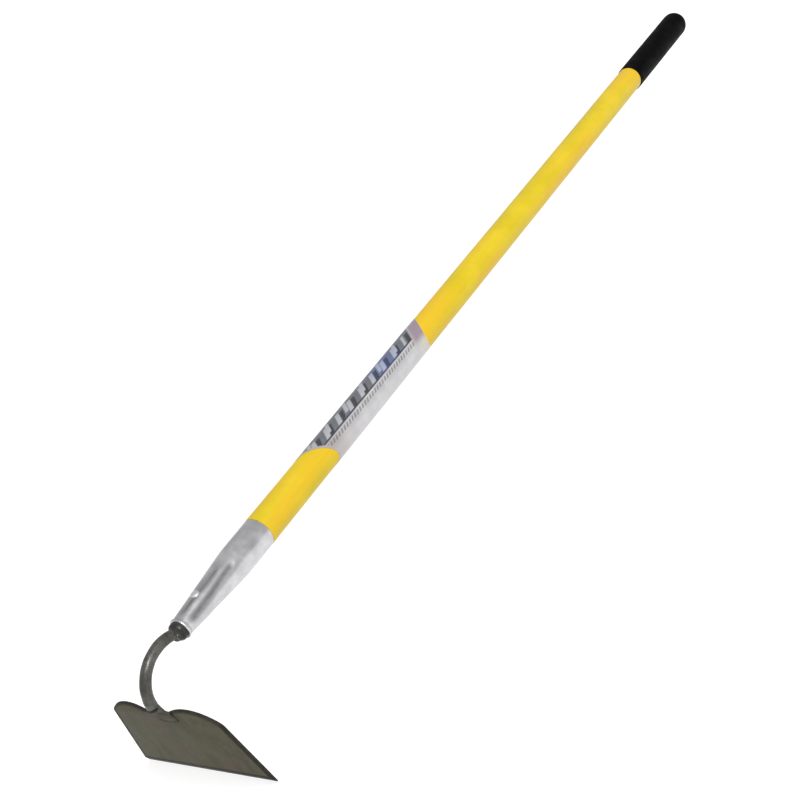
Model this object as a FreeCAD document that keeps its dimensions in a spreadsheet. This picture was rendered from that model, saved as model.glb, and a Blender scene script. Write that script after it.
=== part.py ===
import FreeCAD, Part
import math
import os

import Sketcher

# Long-handled garden hoe, millimetres.
# The handle's axis is +X, running from the head towards the hand grip. +Z is up, away from the blade.
# The origin is on the handle's axis, at the ferrule's upper edge, so the head lies at negative X.

V = FreeCAD.Vector
doc = FreeCAD.newDocument("garden_hoe")

# Two points this near each other count as one.
MATCH = 0.01

DRIVING = {
    # fibreglass handle
    "handle_radius": 16.65,
    "handle_wall": 3.2,
    "handle_length": 1132.0,
    # steel ferrule: a straight sleeve, then a taper down to a rolled rim
    "ferrule_length": 127.5,
    "ferrule_straight": 41.0,
    "ferrule_radius": 16.5,
    "ferrule_wall": 1.2,
    "mouth_radius": 10.0,
    "rim_width": 2.8,
    "rim_bead": 1.45,
    # hardwood plug that holds the tang, and the plug that closes the top of the tube
    "plug_reach": 22.0,
    "cap_reach": 40.0,
    # vinyl hand grip
    "grip_start": 953.0,
    "grip_wall": 1.15,
    # foil label, cut on the slant at both ends; its ends are given where they cross the axis
    "label_start": 105.2,
    "label_finish": 330.1,
    "label_skin": 0.25,
    "label_low_turn": -70.0,
    "label_high_turn": 86.0,
    # tang and collar of the shank
    "tang_length": 108.0,
    "tang_root": 5.0,
    "tang_tip": 2.3,
    "collar_radius": 9.2,
    "collar_width": 4.5,
    "collar_slope": 6.0,
    # swan neck: it leaves the ferrule, rises, then bends over and down to the blade
    "rod_radius": 5.25,
    "neck_lead": 1.5,
    "rise_bend": 12.0,
    "crown_bend": 42.0,
    "drop_bend": 33.8,
    "rise_angle": 28.0,
    "drop_angle": 15.0,
    # forged foot, flattened on the blade's outer face
    "foot_above": 4.3,
    "foot_offset": 5.3,
    "foot_waist": 7.0,
    "foot_waist_offset": 3.2,
    "foot_waist_half": 11.0,
    "foot_waist_thick": 3.2,
    "foot_reach": 17.0,
    "foot_end_half": 12.0,
    "foot_end_thick": 1.2,
    # blade: its lobe on the -Y side is the wider one
    "blade_lean": 5.2,
    "blade_height": 89.0,
    "edge_width": 158.8,
    "narrow_shoulder": 66.0,
    "narrow_drop": 12.0,
    "narrow_bend": 28.5,
    "wide_shoulder": 63.5,
    "wide_drop": 15.5,
    "wide_bend": 48.0,
    "shoulder_round": 8.0,
    "dip_centre": 10.0,
    "dip_half": 15.0,
    "dip_depth": 7.5,
    "blade_thick": 3.0,
    "bevel_height": 6.5,
    "edge_thick": 0.6,
    "corner_round": 1.5,
    # weld bead round the foot
    "bead_radius": 1.9,
    "bead_corner": 3.5,
    # rivet through ferrule, plug and tang
    "pin_from_mouth": 32.5,
    "pin_radius": 2.2,
    "pin_dome": 6.2,
    "pin_dome_rise": 7.6,
    "pin_half": 12.9,
}

sheet = doc.addObject("Spreadsheet::Sheet", "driving")
for row, (alias, number) in enumerate(DRIVING.items(), start=1):
    sheet.set(f"A{row}", alias)
    sheet.set(f"B{row}", str(number))
    sheet.setAlias(f"B{row}", alias)
doc.recompute()


def value(expression):
    """What an expression on the driving sheet comes to, as a plain number."""
    return float(sheet.evalExpression(expression))


def bind(thing, **expressions):
    """Tie properties to the sheet; a double underscore in a name stands for a dot."""
    for name, expression in expressions.items():
        thing.setExpression(name.replace("__", "."), expression)


def cell(name):
    return f"driving.{name}"


def body(label):
    made = doc.addObject("PartDesign::Body", label)
    made.Label = label
    return made


def plane_of(owner, role):
    return next(item for item in owner.Origin.OriginFeatures if item.Role == role)


def sketch_on(owner, name, role, offset=None):
    """Empty sketch on one of the body's own origin planes, moved along its normal by offset."""
    sketch = owner.newObject("Sketcher::SketchObject", name)
    sketch.AttachmentSupport = [(plane_of(owner, role), "")]
    sketch.MapMode = "FlatFace"
    if offset:
        sketch.setExpression("AttachmentOffset.Base.z", offset)
    return sketch


def fix_point(sketch, edge, end, across, up):
    """Hold one end of an edge at two sheet expressions, measured from the sketch's origin."""
    for kind, expression in (("DistanceX", across), ("DistanceY", up)):
        index = sketch.addConstraint(Sketcher.Constraint(kind, -1, 1, edge, end, value(expression)))
        sketch.setExpression(f"Constraints[{index}]", expression)


def arc_middle(start, finish, radius):
    """Point halfway along the short arc from start to finish; it bulges left for a positive radius."""
    chord = finish - start
    half = chord.Length / 2
    bulge = abs(radius) - math.sqrt(radius ** 2 - half ** 2)
    left = V(-chord.y, chord.x, 0).normalize()
    return (start + finish) / 2 + left * math.copysign(bulge, radius)


def outline(owner, name, role, corners, bends=None, offset=None):
    """Closed sketch through corners given as sheet expressions; bends maps an edge to its arc's radius."""
    sketch = sketch_on(owner, name, role, offset)
    points = [V(value(across), value(up), 0) for across, up in corners]
    bends = bends or {}
    for edge, start in enumerate(points):
        finish = points[(edge + 1) % len(points)]
        if edge in bends:
            side, radius = bends[edge]
            middle = arc_middle(start, finish, side * value(radius))
            arc = Part.Arc(start, middle, finish)
            sketch.addGeometry(arc)
        else:
            sketch.addGeometry(Part.LineSegment(start, finish))
    for edge, corner in enumerate(corners):
        start_end, finish_end = edge_ends(sketch, edge, points[edge])
        fix_point(sketch, edge, start_end, *corner)
        following = (edge + 1) % len(points)
        meeting = edge_ends(sketch, following, points[following])[0]
        sketch.addConstraint(Sketcher.Constraint("Coincident", edge, finish_end, following, meeting))
        if edge in bends:
            radius = bends[edge][1]
            index = sketch.addConstraint(Sketcher.Constraint("Radius", edge, value(radius)))
            sketch.setExpression(f"Constraints[{index}]", radius)
    return sketch


def edge_ends(sketch, edge, start):
    """Numbers of an edge's first and last point, counted from the corner where it starts."""
    near = (sketch.getPoint(edge, 1) - start).Length < (sketch.getPoint(edge, 2) - start).Length
    return (1, 2) if near else (2, 1)


def circle_sketch(owner, name, role, radius, across="0", up="0", offset=None):
    sketch = sketch_on(owner, name, role, offset)
    sketch.addGeometry(Part.Circle(V(value(across), value(up), 0), V(0, 0, 1), value(radius)))
    index = sketch.addConstraint(Sketcher.Constraint("Radius", 0, value(radius)))
    sketch.setExpression(f"Constraints[{index}]", radius)
    fix_point(sketch, 0, 3, across, up)
    return sketch


def revolve(owner, name, sketch):
    """Turn a sketch right round its own horizontal axis, which is the handle's axis."""
    made = owner.newObject("PartDesign::Revolution", name)
    made.Profile = sketch
    made.ReferenceAxis = (sketch, ["H_Axis"])
    made.Angle = 360.0
    doc.recompute()
    return made


def cut_through(owner, name, sketch):
    """Cut a sketch right through the body, both ways, and make sure that it removed material."""
    before = owner.Shape.Volume
    made = owner.newObject("PartDesign::Pocket", name)
    made.Profile = sketch
    made.Type = "ThroughAll"
    made.Midplane = True
    doc.recompute()
    if owner.Shape.Volume >= before:
        raise RuntimeError(f"{name} cut nothing")
    return made


def rivet_hole(owner):
    """Hole for the rivet, straight down through the handle's axis."""
    hole = circle_sketch(owner, "rivet_circle", "XY_Plane", cell("pin_radius"), PIN_X)
    return cut_through(owner, "rivet_hole", hole)


MOUTH_X = "-driving.ferrule_length"
TAPER_X = "-driving.ferrule_straight"
PIN_X = "driving.pin_from_mouth - driving.ferrule_length"
SLEEVE_INNER = "driving.ferrule_radius - driving.ferrule_wall"
MOUTH_INNER = "driving.mouth_radius - driving.ferrule_wall"
TUBE_INNER = "driving.handle_radius - driving.handle_wall"


def make_ferrule():
    """Drawn steel sleeve: straight over the handle's spigot, tapered over the plug, rolled at its rim."""
    ferrule = body("ferrule")
    rim_x = "driving.rim_width - driving.ferrule_length"
    corners = [
        ("0", SLEEVE_INNER),
        ("0", cell("ferrule_radius")),
        (TAPER_X, cell("ferrule_radius")),
        (rim_x, cell("mouth_radius")),
        (MOUTH_X, cell("mouth_radius")),
        (MOUTH_X, MOUTH_INNER),
        (TAPER_X, SLEEVE_INNER),
    ]
    rolled_rim = {3: (-1, cell("rim_bead"))}
    wall = outline(ferrule, "ferrule_wall", "XZ_Plane", corners, rolled_rim)
    revolve(ferrule, "ferrule_turn", wall)
    rivet_hole(ferrule)
    return ferrule


def make_handle_tube():
    """Hollow fibreglass tube, turned down at its lower end so that the ferrule lies flush with it."""
    tube = body("handle_tube")
    corners = [
        (TAPER_X, TUBE_INNER),
        (TAPER_X, SLEEVE_INNER),
        ("0", SLEEVE_INNER),
        ("0", cell("handle_radius")),
        (cell("handle_length"), cell("handle_radius")),
        (cell("handle_length"), TUBE_INNER),
    ]
    revolve(tube, "tube_turn", outline(tube, "tube_wall", "XZ_Plane", corners))
    return tube


def make_core_plug():
    """Hardwood plug: it fills the ferrule's taper, reaches up inside the tube and is bored for the tang."""
    plug = body("core_plug")
    tang_end = "driving.tang_length - driving.ferrule_length"
    corners = [
        (MOUTH_X, cell("tang_root")),
        (MOUTH_X, MOUTH_INNER),
        (TAPER_X, SLEEVE_INNER),
        (TAPER_X, TUBE_INNER),
        (cell("plug_reach"), TUBE_INNER),
        (cell("plug_reach"), "0"),
        (tang_end, "0"),
        (tang_end, cell("tang_tip")),
    ]
    revolve(plug, "plug_turn", outline(plug, "plug_section", "XZ_Plane", corners))
    rivet_hole(plug)
    return plug


def make_top_plug():
    """Moulded plug that closes the tube: a spigot inside it and a round head that fills the grip's end."""
    plug = body("top_plug")
    spigot_x = "driving.handle_length - driving.cap_reach"
    corners = [
        (spigot_x, "0"),
        (spigot_x, TUBE_INNER),
        (cell("handle_length"), TUBE_INNER),
        (cell("handle_length"), cell("handle_radius")),
        ("driving.handle_length + driving.handle_radius", "0"),
    ]
    dome = {3: (1, cell("handle_radius"))}
    revolve(plug, "cap_turn", outline(plug, "cap_section", "XZ_Plane", corners, dome))
    return plug


def make_grip():
    """Dipped vinyl hand grip: a sleeve over the tube with a closed, half-round end."""
    grip = body("grip")
    outer = "driving.handle_radius + driving.grip_wall"
    lip_x = "driving.grip_start + driving.grip_wall"
    corners = [
        (cell("grip_start"), cell("handle_radius")),
        (lip_x, outer),
        (cell("handle_length"), outer),
        (f"driving.handle_length + {outer}", "0"),
        ("driving.handle_length + driving.handle_radius", "0"),
        (cell("handle_length"), cell("handle_radius")),
    ]
    rounds = {
        0: (1, cell("grip_wall")),
        2: (1, outer),
        4: (-1, cell("handle_radius")),
    }
    revolve(grip, "grip_turn", outline(grip, "grip_wall", "XZ_Plane", corners, rounds))
    return grip


def make_label():
    """Foil label wrapped round the tube; each end is cut at 45 degrees, turned its own way round the handle."""
    label = body("label_wrap")
    spare = "1.5 * driving.handle_radius"
    ring = circle_sketch(label, "label_ring", "YZ_Plane", "driving.handle_radius + driving.label_skin",
                         offset=f"driving.label_start - {spare}")
    pad = label.newObject("PartDesign::Pad", "label_pad")
    pad.Profile = ring
    bind(pad, Length=f"driving.label_finish - driving.label_start + 2 * {spare}")
    doc.recompute()
    cut_through(label, "label_bore", circle_sketch(label, "label_inner", "YZ_Plane", cell("handle_radius")))
    cut_end(label, "low_end", "driving.label_start", "driving.label_low_turn", "-")
    cut_end(label, "high_end", "driving.label_finish", "driving.label_high_turn", "+")
    return label


def cut_end(label, name, edge_x, turn, beyond):
    """Cut away what lies beyond a slanted line that crosses the handle's axis at edge_x."""
    reach = "driving.handle_radius * 2"
    corners = [
        (f"{edge_x} - {reach}", reach),
        (f"{edge_x} + {reach}", f"-{reach}"),
        (f"{edge_x} {beyond} 2 * {reach}", f"-{reach}"),
        (f"{edge_x} {beyond} 2 * {reach}", reach),
    ]
    waste = outline(label, name, "XZ_Plane", corners)
    waste.AttachmentOffset = FreeCAD.Placement(V(0, 0, 0), FreeCAD.Rotation(V(1, 0, 0), value(turn)))
    bind(waste, AttachmentOffset__Rotation__Angle=turn)
    cut_through(label, f"{name}_cut", waste)


def make_rivet():
    """Rivet down through ferrule, plug and tang, with its two round heads seated on the ferrule's taper."""
    shank = doc.addObject("Part::Cylinder", "rivet_shank")
    shank.Placement = FreeCAD.Placement(V(0, 0, 0), FreeCAD.Rotation())
    bind(shank, Radius=cell("pin_radius"), Height="driving.pin_half * 2",
         Placement__Base__x=PIN_X, Placement__Base__z="-driving.pin_half")
    domes = []
    for side, sign in (("top", ""), ("under", "-")):
        dome = doc.addObject("Part::Sphere", f"rivet_{side}_dome")
        bind(dome, Radius=cell("pin_dome"), Placement__Base__x=PIN_X,
             Placement__Base__z=f"{sign}driving.pin_dome_rise")
        domes.append(dome)
    both = doc.addObject("Part::MultiFuse", "rivet_domes")
    both.Shapes = domes
    taper = doc.addObject("Part::Cone", "ferrule_taper_form")
    taper.Placement = FreeCAD.Placement(V(0, 0, 0), FreeCAD.Rotation(V(0, 1, 0), 90))
    bind(taper, Radius1=cell("mouth_radius"), Radius2=cell("ferrule_radius"),
         Height="driving.ferrule_length - driving.ferrule_straight - driving.rim_width",
         Placement__Base__x="driving.rim_width - driving.ferrule_length")
    heads = doc.addObject("Part::Cut", "rivet_heads")
    heads.Base = both
    heads.Tool = taper
    rivet = doc.addObject("Part::MultiFuse", "ferrule_rivet")
    rivet.Shapes = [shank, heads]
    rivet.Label = "ferrule_rivet"
    return rivet


# Where the swan neck ends, above the blade, and where the blade's top then lies.
LEAN = "(90 + driving.blade_lean)"
NECK_END_X = (
    "-driving.ferrule_length - driving.neck_lead - driving.rise_bend * sin(driving.rise_angle)"
    " - driving.crown_bend * (sin(driving.rise_angle) + sin(driving.drop_angle))"
    f" - driving.drop_bend * (sin{LEAN} - sin(driving.drop_angle))"
)
NECK_END_Z = (
    "(driving.rise_bend + driving.crown_bend) * (1 - cos(driving.rise_angle))"
    " - driving.crown_bend * (1 - cos(driving.drop_angle))"
    f" - driving.drop_bend * (cos(driving.drop_angle) - cos{LEAN})"
)
BLADE_X = (
    f"{NECK_END_X} + driving.foot_above * sin(driving.blade_lean)"
    " + driving.foot_offset * cos(driving.blade_lean)"
)
BLADE_Z = (
    f"{NECK_END_Z} - driving.foot_above * cos(driving.blade_lean)"
    " + driving.foot_offset * sin(driving.blade_lean)"
)


def lean_with_blade(owner):
    """Stand a body in the blade's frame: Z up the blade from its top, X through its thickness."""
    owner.Placement = FreeCAD.Placement(V(0, 0, 0), FreeCAD.Rotation(V(0, -1, 0), value(cell("blade_lean"))))
    bind(owner, Placement__Base__x=BLADE_X, Placement__Base__z=BLADE_Z,
         Placement__Rotation__Angle=cell("blade_lean"))
    doc.recompute()


def make_neck():
    """Tang, collar and bent rod of the shank, as one forging."""
    neck = body("neck_forging")
    collar_end = "-driving.ferrule_length - driving.collar_width"
    slope_end = f"{collar_end} - driving.collar_slope"
    corners = [
        ("driving.tang_length - driving.ferrule_length", "0"),
        ("driving.tang_length - driving.ferrule_length", cell("tang_tip")),
        (MOUTH_X, cell("tang_root")),
        (MOUTH_X, cell("collar_radius")),
        (collar_end, cell("collar_radius")),
        (slope_end, cell("rod_radius")),
        (slope_end, "0"),
    ]
    revolve(neck, "tang_turn", outline(neck, "tang_section", "XZ_Plane", corners))

    path = sketch_on(neck, "neck_path", "XZ_Plane")
    place = V(value(MOUTH_X), 0, 0)
    heading = math.pi
    lead = value(cell("neck_lead"))
    after_lead = place + V(-lead, 0, 0)
    path.addGeometry(Part.LineSegment(place, after_lead))
    fix_point(path, 0, 1, MOUTH_X, "0")
    path.addConstraint(Sketcher.Constraint("Horizontal", 0))
    index = path.addConstraint(Sketcher.Constraint("Distance", 0, lead))
    path.setExpression(f"Constraints[{index}]", cell("neck_lead"))
    last_edge, last_end, place = 0, 2, after_lead
    for radius, turn in (
        ("driving.rise_bend", "-driving.rise_angle"),
        ("driving.crown_bend", "driving.rise_angle + driving.drop_angle"),
        ("driving.drop_bend", "90 + driving.blade_lean - driving.drop_angle"),
    ):
        sweep = math.radians(value(turn))
        size = value(radius)
        side = math.copysign(1, sweep)
        centre = place + V(-math.sin(heading), math.cos(heading), 0) * size * side
        spoke = place - centre
        middle = centre + FreeCAD.Rotation(V(0, 0, 1), math.degrees(sweep / 2)).multVec(spoke)
        finish = centre + FreeCAD.Rotation(V(0, 0, 1), math.degrees(sweep)).multVec(spoke)
        edge = path.addGeometry(Part.Arc(place, middle, finish))
        start_end, finish_end = edge_ends(path, edge, place)
        path.addConstraint(Sketcher.Constraint("Tangent", last_edge, last_end, edge, start_end))
        index = path.addConstraint(Sketcher.Constraint("Radius", edge, size))
        path.setExpression(f"Constraints[{index}]", radius)
        index = path.addConstraint(Sketcher.Constraint("Angle", edge, abs(sweep)))
        path.setExpression(f"Constraints[{index}]", f"abs({turn}) * 1 deg")
        last_edge, last_end, place = edge, finish_end, finish
        heading += sweep

    section = circle_sketch(neck, "rod_section", "YZ_Plane", cell("rod_radius"), offset=MOUTH_X)
    pipe = neck.newObject("PartDesign::AdditivePipe", "bent_rod")
    pipe.Profile = section
    pipe.Spine = (path, [f"Edge{number + 1}" for number in range(path.GeometryCount)])
    doc.recompute()
    rivet_hole(neck)
    return neck


def oval_sketch(owner, name, height, offset, half_width, half_depth):
    """Oval section across the foot: its centre stands off the blade's middle plane by offset."""
    sketch = sketch_on(owner, name, "XY_Plane", height)
    centre = V(-value(offset), 0, 0)
    wide = V(0, value(half_width), 0)
    deep = V(value(half_depth), 0, 0)
    sketch.addGeometry(Part.Ellipse(centre + wide, centre + deep, centre))
    sketch.exposeInternalGeometry(0)
    fix_point(sketch, 0, 3, f"-{offset}", "0")
    long_axis, short_axis = 1, 2
    for axis, half in ((long_axis, half_width), (short_axis, half_depth)):
        index = sketch.addConstraint(Sketcher.Constraint("Distance", axis, 2 * value(half)))
        sketch.setExpression(f"Constraints[{index}]", f"2 * {half}")
    sketch.addConstraint(Sketcher.Constraint("Vertical", long_axis))
    return sketch


def make_foot():
    """Foot of the shank: the round rod flattens and spreads, then thins out on the blade's outer face."""
    foot = body("foot_forging")
    lean_with_blade(foot)
    rod_end = circle_sketch(foot, "foot_top", "XY_Plane", cell("rod_radius"), "-driving.foot_offset",
                            offset=cell("foot_above"))
    waist = oval_sketch(foot, "foot_waist", "-driving.foot_waist", cell("foot_waist_offset"),
                        cell("foot_waist_half"), cell("foot_waist_thick"))
    toe = oval_sketch(foot, "foot_toe", "-driving.foot_reach", "driving.blade_thick / 2",
                      cell("foot_end_half"), cell("foot_end_thick"))
    loft = foot.newObject("PartDesign::AdditiveLoft", "foot_loft")
    loft.Profile = rod_end
    loft.Sections = [waist, toe]
    doc.recompute()
    return foot


def make_blade():
    """Flat steel blade: straight flared sides, two rounded lobes on top, and a ground cutting edge."""
    blade = body("blade")
    lean_with_blade(blade)
    half_edge = "driving.edge_width / 2"
    shoulders = [
        (cell("narrow_shoulder"), "-driving.narrow_drop"),
        ("-driving.wide_shoulder", "-driving.wide_drop"),
    ]
    edge_corners = [
        (f"-{half_edge}", "-driving.blade_height"),
        (half_edge, "-driving.blade_height"),
    ]
    corners = [
        *edge_corners,
        shoulders[0],
        ("driving.dip_centre + driving.dip_half", "-driving.dip_depth"),
        ("driving.dip_centre - driving.dip_half", "-driving.dip_depth"),
        shoulders[1],
    ]
    lobes = {2: (-1, cell("narrow_bend")), 4: (-1, cell("wide_bend"))}
    shape = outline(blade, "blade_outline", "YZ_Plane", corners, lobes)
    plate = blade.newObject("PartDesign::Pad", "blade_plate")
    plate.Profile = shape
    plate.Midplane = True
    bind(plate, Length=cell("blade_thick"))
    doc.recompute()

    round_corners(blade, plate, "shoulder_rounds", cell("shoulder_round"), shoulders)
    round_corners(blade, blade.Tip, "edge_corner_rounds", cell("corner_round"), edge_corners)

    outer = "-driving.blade_thick / 2"
    past = "driving.blade_thick"
    bevel = [
        (outer, "driving.bevel_height - driving.blade_height"),
        (f"{outer} - {past}", "driving.bevel_height - driving.blade_height"),
        (f"{outer} - {past}", f"-driving.blade_height - {past}"),
        ("driving.blade_thick / 2 - driving.edge_thick", f"-driving.blade_height - {past}"),
        ("driving.blade_thick / 2 - driving.edge_thick", "-driving.blade_height"),
    ]
    cut_through(blade, "cutting_bevel", outline(blade, "bevel_section", "XZ_Plane", bevel))
    return blade


def round_corners(owner, base, name, radius, corners):
    """Round the plate's edges that run through its thickness at the given corners of its outline."""
    chosen = []
    for across, up in corners:
        corner = V(0, value(across), value(up))
        for number, edge in enumerate(base.Shape.Edges, start=1):
            if edge.CenterOfMass.isEqual(corner, MATCH):
                chosen.append(f"Edge{number}")
    if len(chosen) != len(corners):
        raise RuntimeError(f"{name} found {len(chosen)} edges")
    made = owner.newObject("PartDesign::Fillet", name)
    made.Base = (base, chosen)
    bind(made, Radius=radius)
    doc.recompute()
    return made


def make_shank(blade):
    """Join tang, neck and foot, then cut the seat where the foot lies on the blade."""
    forging = doc.addObject("Part::MultiFuse", "shank_blank")
    forging.Shapes = [make_neck(), make_foot()]
    shank = doc.addObject("Part::Cut", "gooseneck_shank")
    shank.Base = forging
    shank.Tool = blade
    shank.Label = "gooseneck_shank"
    doc.recompute()
    return shank


def make_weld(blade, shank):
    """Fillet weld that runs down one side of the foot, across its toe and up the other side."""
    bead = body("bead_run")
    lean_with_blade(bead)
    outer_face = "-driving.blade_thick / 2"
    path = sketch_on(bead, "bead_path", "YZ_Plane", outer_face)
    half = value(cell("foot_end_half"))
    top = -value(cell("dip_depth"))
    toe = -value(cell("foot_reach"))
    corner = value(cell("bead_corner"))
    diagonal = corner * (1 - math.sqrt(0.5))
    path.addGeometry(Part.LineSegment(V(-half, top, 0), V(-half, toe + corner, 0)))
    path.addGeometry(Part.Arc(V(-half, toe + corner, 0), V(-half + diagonal, toe + diagonal, 0),
                              V(-half + corner, toe, 0)))
    path.addGeometry(Part.LineSegment(V(-half + corner, toe, 0), V(half - corner, toe, 0)))
    path.addGeometry(Part.Arc(V(half - corner, toe, 0), V(half - diagonal, toe + diagonal, 0),
                              V(half, toe + corner, 0)))
    path.addGeometry(Part.LineSegment(V(half, toe + corner, 0), V(half, top, 0)))
    fix_point(path, 0, 1, "-driving.foot_end_half", "-driving.dip_depth")
    fix_point(path, 4, 2, cell("foot_end_half"), "-driving.dip_depth")
    for line, arc, line_end in ((0, 1, 2), (2, 1, 1), (2, 3, 2), (4, 3, 1)):
        corner_of_line = path.getPoint(line, line_end)
        arc_end = edge_ends(path, arc, corner_of_line)[0]
        path.addConstraint(Sketcher.Constraint("Tangent", line, line_end, arc, arc_end))
    path.addConstraint(Sketcher.Constraint("Vertical", 0))
    path.addConstraint(Sketcher.Constraint("Vertical", 4))
    for arc in (1, 3):
        index = path.addConstraint(Sketcher.Constraint("Radius", arc, corner))
        path.setExpression(f"Constraints[{index}]", cell("bead_corner"))
    index = path.addConstraint(Sketcher.Constraint("DistanceY", -1, 1, 2, 1, toe))
    path.setExpression(f"Constraints[{index}]", "-driving.foot_reach")
    section = circle_sketch(bead, "bead_section", "XY_Plane", cell("bead_radius"), outer_face,
                            "-driving.foot_end_half", "-driving.dip_depth")
    pipe = bead.newObject("PartDesign::AdditivePipe", "bead_pipe")
    pipe.Profile = section
    pipe.Spine = (path, [f"Edge{number + 1}" for number in range(path.GeometryCount)])
    doc.recompute()
    off_blade = doc.addObject("Part::Cut", "bead_on_blade")
    off_blade.Base = bead
    off_blade.Tool = blade
    weld = doc.addObject("Part::Cut", "foot_weld")
    weld.Base = off_blade
    weld.Tool = shank
    weld.Label = "foot_weld"
    return weld


def check(pieces):
    """Stop if any object failed to compute, or any sub-part isn't a valid solid."""
    for item in doc.Objects:
        if "Invalid" in item.State or "Error" in item.State:
            raise RuntimeError(f"{item.Label} failed: {item.State}")
    for piece in pieces:
        if piece.Shape.isNull() or not piece.Shape.isValid() or not piece.Shape.Solids:
            raise RuntimeError(f"{piece.Label} is not a valid solid")


blade = make_blade()
shank = make_shank(blade)
PIECES = [
    blade,
    shank,
    make_weld(blade, shank),
    make_ferrule(),
    make_rivet(),
    make_core_plug(),
    make_handle_tube(),
    make_label(),
    make_top_plug(),
    make_grip(),
]
doc.recompute()
check(PIECES)
os.makedirs("parts", exist_ok=True)
for piece in PIECES:
    piece.Shape.exportStep(f"parts/{piece.Label}.step")
    box = piece.Shape.BoundBox
    print(f"{piece.Label}: {len(piece.Shape.Solids)} solid, {piece.Shape.Volume / 1000:.2f} cm3,"
          f" x {box.XMin:.1f}..{box.XMax:.1f}, z {box.ZMin:.1f}..{box.ZMax:.1f}")
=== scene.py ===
import math

import bmesh
import bpy
from mathutils import Matrix, Vector
from mathutils.noise import fractal


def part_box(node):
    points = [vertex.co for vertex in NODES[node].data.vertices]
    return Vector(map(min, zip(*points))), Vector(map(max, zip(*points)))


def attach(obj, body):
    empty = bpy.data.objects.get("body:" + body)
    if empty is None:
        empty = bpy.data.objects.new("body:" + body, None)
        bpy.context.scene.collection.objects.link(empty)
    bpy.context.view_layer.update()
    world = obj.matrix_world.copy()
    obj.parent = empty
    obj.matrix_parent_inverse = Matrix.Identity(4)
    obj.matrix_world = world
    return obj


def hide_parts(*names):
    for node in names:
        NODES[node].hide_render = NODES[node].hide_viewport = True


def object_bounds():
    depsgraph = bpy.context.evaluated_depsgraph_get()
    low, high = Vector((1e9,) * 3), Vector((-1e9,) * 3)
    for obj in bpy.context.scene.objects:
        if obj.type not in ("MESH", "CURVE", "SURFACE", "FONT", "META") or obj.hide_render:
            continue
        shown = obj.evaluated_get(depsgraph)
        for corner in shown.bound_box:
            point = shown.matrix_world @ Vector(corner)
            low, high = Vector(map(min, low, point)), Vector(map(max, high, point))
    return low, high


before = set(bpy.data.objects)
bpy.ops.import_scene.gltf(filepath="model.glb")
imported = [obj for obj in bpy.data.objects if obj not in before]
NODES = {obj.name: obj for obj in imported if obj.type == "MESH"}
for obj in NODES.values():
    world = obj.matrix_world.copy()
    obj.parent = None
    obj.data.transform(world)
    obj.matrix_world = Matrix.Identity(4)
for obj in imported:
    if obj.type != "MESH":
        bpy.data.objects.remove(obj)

# Looks of the long-handled garden hoe, metres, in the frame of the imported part:
# the handle's axis is +X towards the hand grip, +Z is up and away from the blade.

CAD_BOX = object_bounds()

MM = 0.001

# ferrule
FERRULE_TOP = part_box("ferrule")[1].x
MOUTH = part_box("ferrule")[0].x
TAPER = -41.0 * MM
SLEEVE_RADIUS = 16.5 * MM
MOUTH_RADIUS = 10.0 * MM
WALL = 1.2 * MM
RIM_WIDTH = 2.8 * MM
RIM_BEAD = 1.0 * MM
EASE = 0.35 * MM
SHOULDER = 9.0 * MM
# pressed flutes: place and angle at each end, half width, depth
FLUTES = [
    (-48.0 * MM, 140.0, -122.0 * MM, 159.0, 3.0 * MM, 0.95 * MM),
    (-60.0 * MM, 107.0, -122.0 * MM, 99.0, 1.9 * MM, 0.6 * MM),
]

# shank
TANG_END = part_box("gooseneck_shank")[1].x
TANG_TIP = 2.3 * MM
TANG_ROOT = 5.0 * MM
COLLAR_RADIUS = 9.2 * MM
COLLAR_WIDTH = 4.5 * MM
COLLAR_SLOPE = 6.0 * MM
COLLAR_END = MOUTH - COLLAR_WIDTH - COLLAR_SLOPE
ROD_RADIUS = 5.25 * MM
# bends of the rod from the collar down: radius, and turn in degrees
BENDS = [(12.0 * MM, -28.0), (42.0 * MM, 43.0), (33.8 * MM, 80.2)]
NECK_LEAD = 1.5 * MM

# blade and its frame: it leans, and heights are measured down from its top
LEAN = math.radians(5.2)
BLADE_THICK = 3.0 * MM
FOOT_ABOVE = 4.3 * MM
FOOT_OFFSET = 5.3 * MM
EDGE_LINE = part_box("blade")[0].z
EDGE_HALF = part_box("blade")[1].y
# how far each slanted side comes in for each step up from the cutting edge
SIDE_SLOPES = (0.174, 0.216)
BEVEL_TOP = 6.2 * MM
# a face belongs to the rim below the first share of facing outwards, and to the bevel below the second
RIM_FACING = 0.5
FLAT_FACING = 0.995

# grip
GRIP_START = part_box("grip")[0].x
GRIP_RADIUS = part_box("grip")[1].z
GRIP_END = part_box("grip")[1].x
TUBE_RADIUS = 16.65 * MM

# label: where each slanted end crosses the axis in millimetres, and how it is turned in degrees
LABEL_LOW = (105.2, -70.0)
LABEL_HIGH = (330.1, 86.0)
PRINT_SIDE = 143.0


# ---------------------------------------------------------------- mesh helpers

def new_object(name, mesh, material):
    """Put a mesh into the scene as a piece that moves with the object's one body."""
    piece = bpy.data.objects.new(name, mesh)
    bpy.context.scene.collection.objects.link(piece)
    mesh.materials.append(material)
    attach(piece, "root")
    return piece


def smooth(mesh, angle):
    """Shade a mesh smooth, apart from edges sharper than angle in degrees."""
    mesh.polygons.foreach_set("use_smooth", [True] * len(mesh.polygons))
    mesh.set_sharp_from_angle(angle=math.radians(angle))


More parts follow.
